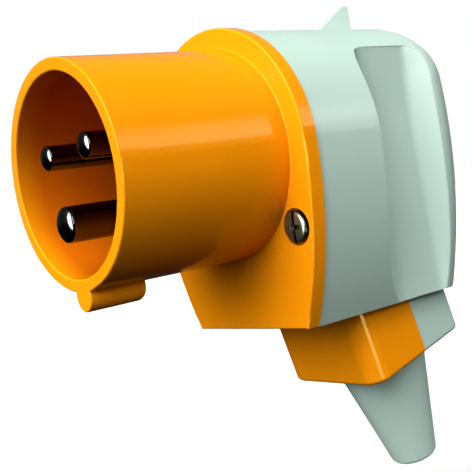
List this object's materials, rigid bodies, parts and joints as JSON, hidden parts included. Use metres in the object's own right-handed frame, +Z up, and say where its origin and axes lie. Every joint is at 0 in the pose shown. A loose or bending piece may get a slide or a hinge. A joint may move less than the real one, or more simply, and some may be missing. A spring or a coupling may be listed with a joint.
{
  "type": "three-pin plug",
  "caption": "Right-angle industrial plug: round keyed shroud around contact pins, arched housing with side grips, and a leaning cable gland with a tapered sleeve.",
  "frame": {"origin": "centre of the shroud mouth on the plug axis", "axes": "-Y out of the mouth, towards the socket; +Z up, away from the cable; X across, with the plug the same on both sides"},
  "size_m": [0.0534, 0.0935, 0.1111],
  "materials": {
    "yellow_plastic": "glossy moulded thermoplastic",
    "grey_plastic": "satin moulded thermoplastic",
    "grey_elastomer": "satin elastomer",
    "dark_plastic": "matt filled thermoplastic",
    "pin_metal": "bright nickel plate on brass",
    "screw_steel": "plated steel",
    "brass": "turned brass",
    "nylon": "natural nylon"
  },
  "bodies": {
    "root": {"front_shell": "yellow_plastic", "gland_clamp": "yellow_plastic", "rear_shell": "grey_plastic", "cable_nozzle": "grey_elastomer", "contact_carrier": "dark_plastic", "carrier_back": "dark_plastic", "line_pin": "pin_metal", "neutral_pin": "pin_metal", "earth_pin": "pin_metal", "line_terminal_screw": "screw_steel", "neutral_terminal_screw": "screw_steel", "earth_terminal_screw": "screw_steel", "carrier_screw": "screw_steel", "housing_screws": "screw_steel", "clamp_screws": "screw_steel", "housing_inserts": "brass", "clamp_inserts": "brass", "screw_retainers": "nylon"}
  },
  "joints": []
}
